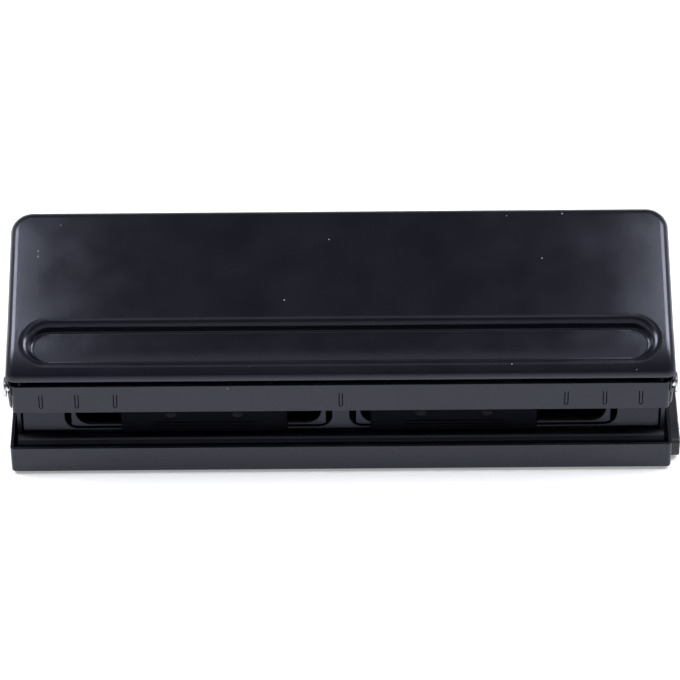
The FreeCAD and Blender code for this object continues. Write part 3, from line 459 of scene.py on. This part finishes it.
def lathe(name, profile, place, segments=64):
    """A mesh turned about Z from (radius, height) points, then set in place by a matrix."""
    shape = bmesh.new()
    rings = []
    for radius, height in profile:
        if radius < 1e-7:
            rings.append([shape.verts.new((0.0, 0.0, height))])
            continue
        ring = []
        for i in range(segments):
            angle = 2 * math.pi * i / segments
            ring.append(shape.verts.new((radius * math.cos(angle), radius * math.sin(angle), height)))
        rings.append(ring)
    for first, second in zip(rings, rings[1:]):
        for i in range(segments):
            corners = [first[i % len(first)], first[(i + 1) % len(first)],
                       second[(i + 1) % len(second)], second[i % len(second)]]
            shape.faces.new(list(dict.fromkeys(corners)))
    shape.transform(place)
    return mesh_from(name, shape)


def tube(name, points, radius, sides=12):
    """A round wire along a path, its ends closed."""
    shape = bmesh.new()
    rings = []
    side_way = None
    for i, point in enumerate(points):
        ahead = points[min(i + 1, len(points) - 1)] - points[max(i - 1, 0)]
        ahead.normalize()
        if side_way is None:
            side_way = ahead.orthogonal().normalized()
        side_way = (side_way - ahead * side_way.dot(ahead)).normalized()
        other = ahead.cross(side_way)
        ring = []
        for k in range(sides):
            angle = 2 * math.pi * k / sides
            way = math.cos(angle) * side_way + math.sin(angle) * other
            ring.append(shape.verts.new(point + radius * way))
        rings.append(ring)
    for first, second in zip(rings, rings[1:]):
        for k in range(sides):
            shape.faces.new((first[k], first[(k + 1) % sides], second[(k + 1) % sides], second[k]))
    shape.faces.new(rings[0])
    shape.faces.new(rings[-1])
    return mesh_from(name, shape)


class PUNCH_OT_sheet_metal(bpy.types.Operator):
    """Enamel on the base tray, the die plate, the rail and the panels"""

    bl_idname = "punch.sheet_metal"
    bl_label = "Enamelled sheet metal"
    bl_options = {"REGISTER", "UNDO"}

    def execute(self, context):
        colour = context.scene.punch_colours.enamel
        sizes = context.scene.punch_sizes
        enamel = enamel_finish("enamel", colour, sizes, SHEET_ROUGHNESS)
        for node in PAINTED_NODES:
            dress(node, enamel)
        leaning = enamel_finish("panel_enamel", colour, sizes, SHEET_ROUGHNESS, lean=PANEL_LEAN)
        for node in WINDOW_NODES:
            dress(node, leaning)
        return {"FINISHED"}


class PUNCH_OT_marks(bpy.types.Operator):
    """Dark strips of painted shade in the floors of the rail's stamped marks"""

    bl_idname = "punch.marks"
    bl_label = "Rail mark shade"
    bl_options = {"REGISTER", "UNDO"}

    def execute(self, context):
        sizes = context.scene.punch_sizes
        # The strips are painted shade: a dull colour a fifth as bright as the enamel, so that the
        # grooves read dark.
        colour = scaled(context.scene.punch_colours.enamel, 0.2)
        dull = plastic_finish("mark_shade_line", colour, 0.3 * MM, 0.01 * MM, 0.8, 0.95, 0.05)
        low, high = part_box("scale_rail")
        middle = (low.x + high.x) / 2
        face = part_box("die_plate")[0].y + RAIL_BEHIND_PLATE
        shape = bmesh.new()
        for offset in MARK_OFFSETS:
            for x in sorted({middle - offset, middle + offset}):
                self.stamp(shape, x, face + MARK_FLOOR, low.z + MARK_ABOVE_EDGE, sizes.mark_shade_line)
        mesh = mesh_from("mark_shade_strips", shape)
        add_piece("mark_shade_strips", mesh, dull, "frame")
        return {"FINISHED"}

    def stamp(self, shape, x, y, bottom, line):
        """One U, open at the top, as a thin dark strip of painted shade that stands on the groove's
        floor.
        """
        radius = MARK_PITCH / 2
        path = [((-radius, MARK_LENGTH), (-1.0, 0.0))]
        steps = 10
        for i in range(steps + 1):
            angle = math.pi * (1 + i / steps)
            way = (math.cos(angle), math.sin(angle))
            path.append(((radius * way[0], radius + radius * way[1]), way))
        path.append(((radius, MARK_LENGTH), (1.0, 0.0)))
        sections = []
        for (px, pz), (nx, nz) in path:
            corners = []
            for out, depth in ((0.5, 0.0), (0.4, -MARK_STRIP), (-0.4, -MARK_STRIP), (-0.5, 0.0)):
                place = (x + px + nx * line * out, y + depth, bottom + pz + nz * line * out)
                corners.append(shape.verts.new(place))
            sections.append(corners)
        for first, second in zip(sections, sections[1:]):
            for k in range(4):
                shape.faces.new((first[k], first[(k + 1) % 4], second[(k + 1) % 4], second[k]))
        shape.faces.new(sections[0])
        shape.faces.new(sections[-1])


class PUNCH_OT_lever(bpy.types.Operator):
    """Enamel on the lever"""

    bl_idname = "punch.lever"
    bl_label = "Lever"
    bl_options = {"REGISTER", "UNDO"}

    def execute(self, context):
        colour = context.scene.punch_colours.enamel
        sizes = context.scene.punch_sizes
        enamel = enamel_finish("lever_enamel", colour, sizes, LEVER_ROUGHNESS, crowned=True)
        dress("lever", enamel)
        return {"FINISHED"}


class PUNCH_OT_grips(bpy.types.Operator):
    """Grained plastic on the finger grips and blackened rivets"""

    bl_idname = "punch.grips"
    bl_label = "Finger grips"
    bl_options = {"REGISTER", "UNDO"}

    def execute(self, context):
        colours = context.scene.punch_colours
        darkened_grip = tuple(share * part for share, part in zip(GRIP_DARKENING, colours.grip))
        plastic = plastic_finish("grip_plastic_grain", darkened_grip, 0.35 * MM, 0.012 * MM, 0.38, 0.5, 0.03)
        # The grip rivets' colour is darkened to a fifth of the record's rivet colour.
        dark = steel_finish("blackened_rivet", scaled(colours.dark, 0.2), 0.4, 0.5, EVEN_GRAIN, 0.9)
        for side in SIDES:
            dress("finger_grip_" + side, plastic)
            dress("grip_rivets_" + side, dark)
        return {"FINISHED"}


class PUNCH_OT_heads(bpy.types.Operator):
    """Cast carriers, hardened dies and pins, and the ground guide rod"""

    bl_idname = "punch.heads"
    bl_label = "Punch heads"
    bl_options = {"REGISTER", "UNDO"}

    def execute(self, context):
        colours = context.scene.punch_colours
        cast = cast_finish("cast_alloy", colours.cast)
        hardened = steel_finish("hardened_steel", colours.hardened, 0.22, 0.34, PIN_GRAIN)
        ground = steel_finish("ground_steel_bar", colours.ground, 0.2, 0.32, ROD_GRAIN)
        dress("guide_rod", ground)
        for side in SIDES:
            dress("punch_carrier_" + side, cast)
            dress("die_insert_" + side, hardened)
            for letter in PIN_LETTERS:
                dress("punch_pin_%s_%s" % (side, letter), hardened)
        return {"FINISHED"}


class PUNCH_OT_springs(bpy.types.Operator):
    """Six coil springs that stand in for the plain sleeves"""

    bl_idname = "punch.springs"
    bl_label = "Pin springs"
    bl_options = {"REGISTER", "UNDO"}

    def execute(self, context):
        wire = steel_finish("spring_wire", context.scene.punch_colours.wire, 0.3, 0.42, EVEN_GRAIN)
        for side in SIDES:
            for letter in PIN_LETTERS:
                self.coil(side, letter, context.scene.punch_sizes, wire)
        return {"FINISHED"}

    def coil(self, side, letter, sizes, wire):
        node = "pin_spring_%s_%s" % (side, letter)
        low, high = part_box(node)
        wire_radius = sizes.wire_thickness / 2
        coil_radius = (high.x - low.x) / 2 - wire_radius
        centre = (low + high) / 2
        bottom = low.z + wire_radius
        rise = high.z - low.z - 2 * wire_radius
        count = sizes.coil_count * COIL_STEPS
        points = []
        for i in range(count + 1):
            share = i / count
            angle = 2 * math.pi * sizes.coil_count * share
            height = bottom + rise * self.climb(share, sizes.coil_count)
            points.append(Vector((centre.x + coil_radius * math.cos(angle),
                                  centre.y + coil_radius * math.sin(angle), height)))
        mesh = tube(node + "_coil", points, wire_radius, WIRE_SIDES)
        body = "punch_head_" + side
        piece = add_piece(node + "_coil", mesh, wire, body, (node,))
        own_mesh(piece)

    def climb(self, share, turns):
        """Rise of the coil: nearly flat over the first and the last turn, steady between."""
        flat = 1.0 / turns
        gentle = 0.5 * flat
        if share < flat:
            return gentle * share / flat * 0.5
        if share > 1.0 - flat:
            return 1.0 - gentle * (1.0 - share) / flat * 0.5
        start = gentle * 0.5
        return start + (1.0 - 2 * start) * (share - flat) / (1.0 - 2 * flat)


class PUNCH_OT_rivets(bpy.types.Operator):
    """Turned pivot rivets, washers and the rivets that hold the die plate"""

    bl_idname = "punch.rivets"
    bl_label = "Rivets and washers"
    bl_options = {"REGISTER", "UNDO"}

    def execute(self, context):
        colours = context.scene.punch_colours
        plated = steel_finish("plated_rivet", colours.plated, 0.16, 0.28, EVEN_GRAIN)
        nylon = plastic_finish("nylon_washer", colours.nylon, 0.3 * MM, 0.01 * MM, 0.5, 0.6)
        dress("frame_rivets", plated)
        for side in SIDES:
            dress("pivot_rivet_" + side, plated)
            dress("pivot_washer_" + side, nylon)
        return {"FINISHED"}


class PUNCH_OT_feet(bpy.types.Operator):
    """Rubber feet with a ring groove underneath"""

    bl_idname = "punch.feet"
    bl_label = "Rubber feet"
    bl_options = {"REGISTER", "UNDO"}

    def execute(self, context):
        rubber = rubber_finish("soft_rubber", context.scene.punch_colours.rubber)
        for node in FOOT_NODES:
            low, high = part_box(node)
            centre = (low + high) / 2
            place = Matrix.Translation((centre.x, centre.y, low.z))
            groove = context.scene.punch_sizes.foot_groove
            profile = self.outline((high.x - low.x) / 2, high.z - low.z, groove)
            mesh = lathe(node + "_moulded", profile, place)
            add_piece(node + "_moulded", mesh, rubber, "frame", (node,))
        return {"FINISHED"}

    def outline(self, radius, height, depth):
        """Half of a foot's section: flat top, rounded lower edge, and a groove in the sole."""
        groove = FOOT_GROOVE_PLACE * radius
        profile = [(0.0, height), (radius, height)]
        profile += arc((radius - FOOT_EDGE, FOOT_EDGE), FOOT_EDGE, 0.0, -90.0, 6)
        profile.append((groove + FOOT_GROOVE_HALF, 0.0))
        profile.append((groove + FOOT_GROOVE_HALF / 2, depth))
        profile.append((groove - FOOT_GROOVE_HALF / 2, depth))
        profile.append((groove - FOOT_GROOVE_HALF, 0.0))
        profile.append((0.0, 0.0))
        return profile


class PUNCH_OT_drawer(bpy.types.Operator):
    """Smooth black plastic on the chip drawer"""

    bl_idname = "punch.drawer"
    bl_label = "Chip drawer"
    bl_options = {"REGISTER", "UNDO"}

    def execute(self, context):
        colour = context.scene.punch_colours.drawer
        skin = plastic_finish("drawer_plastic_skin", colour, 0.5 * MM, 0.006 * MM, 0.3, 0.42)
        dress("chip_drawer", skin)
        return {"FINISHED"}


def floor_finish(name, colour):
    """Pale stage whose lit colour is lifted to white where the camera or a reflection sees it."""
    finish = Finish(name)
    finish.set(Roughness=0.9, Specular_IOR_Level=0.1)
    cloud = finish.noise(0.4, 2.0)
    tint = finish.blend_colours(finish.spread(cloud, 0.0, 1.0), scaled(colour, 0.99), colour)
    distance = finish.add("ShaderNodeVectorMath", operation="LENGTH")
    finish.link(finish.place, distance.inputs[0])
    away = distance.outputs["Value"]
    glow = finish.spread(away, NEAR_GLOW, FAR_GLOW, NEAR_DISTANCE, FAR_DISTANCE)
    rays = finish.add("ShaderNodeLightPath").outputs
    seen = finish.calc("MAXIMUM", rays["Is Camera Ray"], rays["Is Glossy Ray"])
    seen = finish.calc("MAXIMUM", seen, rays["Is Transmission Ray"])
    lift = finish.calc("MULTIPLY", seen, glow)
    finish.link(lift, finish.shader.inputs["Emission Strength"])
    finish.set(Emission_Color=(1.0, 1.0, 1.0, 1.0))
    return finish.finished(tint)


def area_lamp(name, place, target, size, power):
    lamp = bpy.data.lights.new(name, "AREA")
    lamp.shape = "RECTANGLE"
    lamp.size = size[0]
    lamp.size_y = size[1]
    lamp.energy = power
    lamp.color = LAMP_COLOUR
    holder = bpy.data.objects.new(name, lamp)
    bpy.context.scene.collection.objects.link(holder)
    holder.location = place
    holder.rotation_euler = (Vector(target) - Vector(place)).to_track_quat("-Z", "Y").to_euler()


class PUNCH_OT_stage(bpy.types.Operator):
    """Floor, backdrop, lamps and the photograph's camera"""

    bl_idname = "punch.stage"
    bl_label = "Stage"
    bl_options = {"REGISTER", "UNDO"}

    def execute(self, context):
        self.backdrop(context.scene.punch_colours.floor, context.scene.punch_stage)
        self.lamps(context.scene.punch_stage)
        self.world()
        self.camera()
        context.scene.view_settings.view_transform = "Standard"
        return {"FINISHED"}

    def backdrop(self, colour, stage):
        """A round floor that curves up into a wall all round."""
        foot = stage.floor_radius - BACKDROP_BEND
        profile = [(0.0, 0.0), (foot, 0.0)]
        profile += arc((foot, BACKDROP_BEND), BACKDROP_BEND, -90.0, 0.0, 12)
        profile += [(stage.floor_radius, stage.wall_height)]
        mesh = lathe("stage_floor", profile, Matrix.Identity(4), 96)
        mesh.materials.append(floor_finish("stage_pale", colour))
        floor = bpy.data.objects.new("stage_floor", mesh)
        bpy.context.scene.collection.objects.link(floor)

    def lamps(self, stage):
        """One lamp out to each side and one high over the front."""
        across, back, up = SIDE_LAMP_PLACE
        for side, sign in zip(SIDES, (-1, 1)):
            place = (sign * across, back, up)
            area_lamp("lamp_" + side, place, SIDE_LAMP_TARGET, SIDE_LAMP_SIZE, stage.side_power)
        area_lamp("lamp_front", FRONT_LAMP_PLACE, FRONT_LAMP_TARGET, FRONT_LAMP_SIZE, stage.front_power)

    def world(self):
        world = bpy.data.worlds.new("stage_world")
        bpy.context.scene.world = world
        world.use_nodes = True
        background = world.node_tree.nodes["Background"]
        background.inputs["Color"].default_value = SKY_COLOUR
        background.inputs["Strength"].default_value = SKY_STRENGTH

    def camera(self):
        """The camera that puts the base's lower front edge where the photograph has it."""
        low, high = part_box("base_tray")
        edge = Vector(((low.x + high.x) / 2, low.y, low.z))
        distance = FOCAL_PIXELS * (high.x - low.x) / BASE_EDGE_PIXELS
        across = Vector((1.0, 0.0, 0.0))
        upward = Vector((0.0, math.sin(CAMERA_PITCH), math.cos(CAMERA_PITCH)))
        ahead = Vector((0.0, math.cos(CAMERA_PITCH), -math.sin(CAMERA_PITCH)))
        right = across * math.cos(CAMERA_ROLL) - upward * math.sin(CAMERA_ROLL)
        top = across * math.sin(CAMERA_ROLL) + upward * math.cos(CAMERA_ROLL)
        metres_per_pixel = distance / FOCAL_PIXELS
        offset_right = (BASE_EDGE_COLUMN - PHOTO_PIXELS / 2) * metres_per_pixel
        offset_up = (PHOTO_PIXELS / 2 - BASE_EDGE_ROW) * metres_per_pixel
        place = edge - ahead * distance - right * offset_right - top * offset_up
        data = bpy.data.cameras.new("photo_camera")
        data.sensor_width = SENSOR_WIDTH
        data.lens = SENSOR_WIDTH * FOCAL_PIXELS / PHOTO_PIXELS
        data.clip_start = 0.05
        data.clip_end = 50.0
        camera = bpy.data.objects.new("photo_camera", data)
        bpy.context.scene.collection.objects.link(camera)
        turn = Matrix((right, top, -ahead)).transposed()
        camera.matrix_world = Matrix.Translation(place) @ turn.to_4x4()
        bpy.context.scene.camera = camera


OPERATORS = (PUNCH_OT_sheet_metal, PUNCH_OT_marks, PUNCH_OT_lever, PUNCH_OT_grips, PUNCH_OT_heads,
             PUNCH_OT_springs, PUNCH_OT_rivets, PUNCH_OT_feet, PUNCH_OT_drawer, PUNCH_OT_stage)


class PUNCH_PT_sidebar(bpy.types.Panel):
    """Lists the punch's pieces and their settings"""

    bl_idname = "PUNCH_PT_sidebar"
    bl_label = "Six-hole punch"
    bl_space_type = "VIEW_3D"
    bl_region_type = "UI"
    bl_category = "Punch"

    def draw(self, context):
        layout = self.layout
        scene = context.scene
        for operator in OPERATORS:
            layout.operator(operator.bl_idname)
        for group in (scene.punch_colours, scene.punch_sizes, scene.punch_stage):
            for key in group.bl_rna.properties.keys():
                if key not in ("rna_type", "name"):
                    layout.prop(group, key)


CLASSES = (PunchColours, PunchSizes, PunchStage) + OPERATORS + (PUNCH_PT_sidebar,)


def register():
    for cls in CLASSES:
        bpy.utils.register_class(cls)
    bpy.types.Scene.punch_colours = bpy.props.PointerProperty(type=PunchColours)
    bpy.types.Scene.punch_sizes = bpy.props.PointerProperty(type=PunchSizes)
    bpy.types.Scene.punch_stage = bpy.props.PointerProperty(type=PunchStage)


def unregister():
    del bpy.types.Scene.punch_stage
    del bpy.types.Scene.punch_sizes
    del bpy.types.Scene.punch_colours
    for cls in reversed(CLASSES):
        bpy.utils.unregister_class(cls)


def main():
    register()
    for operator in OPERATORS:
        group, name = operator.bl_idname.split(".")
        getattr(getattr(bpy.ops, group), name)()


if __name__ == "__main__":
    main()
